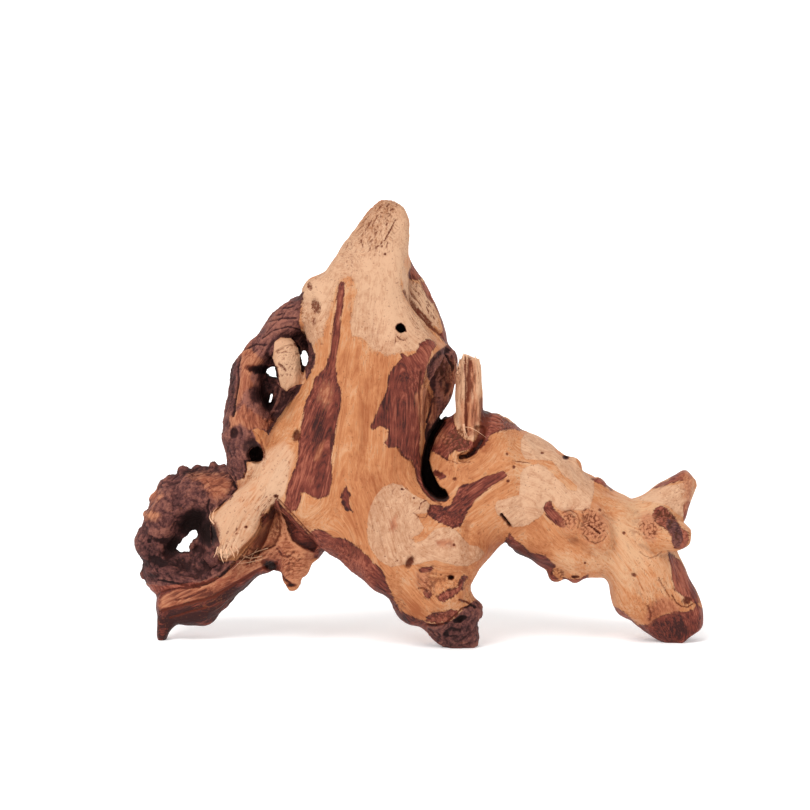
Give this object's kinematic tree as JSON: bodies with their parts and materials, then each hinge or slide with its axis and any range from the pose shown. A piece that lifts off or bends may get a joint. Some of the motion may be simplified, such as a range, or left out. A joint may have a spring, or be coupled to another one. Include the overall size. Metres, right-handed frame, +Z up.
{
  "type": "piece of mopani driftwood",
  "caption": "Branching piece of mopani root wood that stands on the ends of its roots, with arches, a bark loop and broken limbs.",
  "frame": {"origin": "on the ground, under the middle of the piece's bounding box", "axes": "+Z up, +X along the piece's length, -Y towards the broad pale face"},
  "size_m": [0.2884, 0.0802, 0.2232],
  "materials": {
    "sapwood": "bare weathered sapwood, matt, with red-brown heartwood stripes",
    "heartwood": "bare dark red-brown heartwood, matt",
    "bark": "rough knobbly dark bark, matt",
    "torn_wood": "pale torn and sawn wood, fibrous, matt"
  },
  "bodies": {
    "root": {"trunk": "sapwood", "right_limb": "sapwood", "right_prong": "sapwood", "right_foot": "heartwood", "left_root": "heartwood", "loop_root": "bark", "bark_ring": "bark", "torn_limb": "torn_wood", "cut_stub": "torn_wood", "snapped_stub": "torn_wood"}
  },
  "joints": []
}
